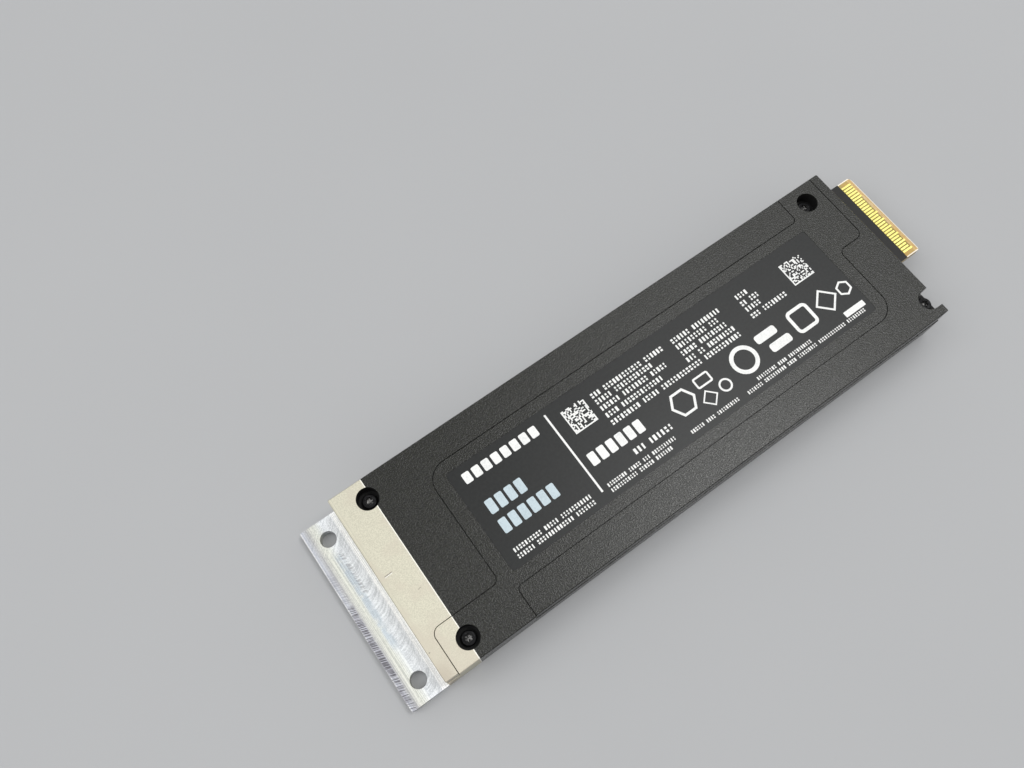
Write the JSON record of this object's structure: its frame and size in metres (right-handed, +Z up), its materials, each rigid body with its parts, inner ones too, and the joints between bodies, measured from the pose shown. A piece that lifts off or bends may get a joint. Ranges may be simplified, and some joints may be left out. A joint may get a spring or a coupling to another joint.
{
  "type": "ruler ssd module",
  "caption": "Slim card-edge solid-state drive in a black two-part aluminium case with an inlaid lid and a bare front lip for a latch.",
  "frame": {"origin": "middle of the underside, at the centre of the overall box", "axes": "+X towards the card edge, the way it is pushed into its slot; +Y across the case; +Z up out of the labelled face"},
  "size_m": [0.1188, 0.0338, 0.0095],
  "materials": {
    "black_anodised_case": "fine blasted black anodised aluminium, left bare in a band at the front",
    "lower_case_metal": "black anodised aluminium with a bare milled lip at the front",
    "label_film": "smooth dark grey film with white print",
    "screw_steel": "black plated steel",
    "board_laminate": "dark coated laminate, tan at the card edge",
    "gold_contacts": "bright gold plating",
    "chip_mould": "dull black moulding",
    "capacitor_mould": "dull dark moulding",
    "inductor_ferrite": "dull grey ferrite",
    "capacitor_ceramic": "dull tan ceramic",
    "crystal_can": "satin metal can",
    "lamp_lens": "clear moulded lens",
    "thermal_pad": "soft blue-grey pad"
  },
  "bodies": {
    "root": {"upper_case": "black_anodised_case", "lid_plate": "black_anodised_case", "lower_case": "lower_case_metal", "label": "label_film", "case_screws": "screw_steel", "main_board": "board_laminate", "edge_contacts_top": "gold_contacts", "edge_contacts_bottom": "gold_contacts", "controller": "chip_mould", "flash_top_front": "chip_mould", "flash_top_rear": "chip_mould", "flash_bottom_front": "chip_mould", "flash_bottom_rear": "chip_mould", "working_memory_top": "chip_mould", "working_memory_bottom": "chip_mould", "power_manager": "chip_mould", "load_switch": "chip_mould", "boot_memory": "chip_mould", "backup_capacitors": "capacitor_mould", "power_inductors": "inductor_ferrite", "bypass_capacitors_top": "capacitor_ceramic", "bypass_capacitors_bottom": "capacitor_ceramic", "clock_crystal": "crystal_can", "status_lamps": "lamp_lens", "controller_thermal_pad": "thermal_pad", "flash_thermal_pad_top": "thermal_pad", "flash_thermal_pad_bottom": "thermal_pad"}
  },
  "joints": []
}
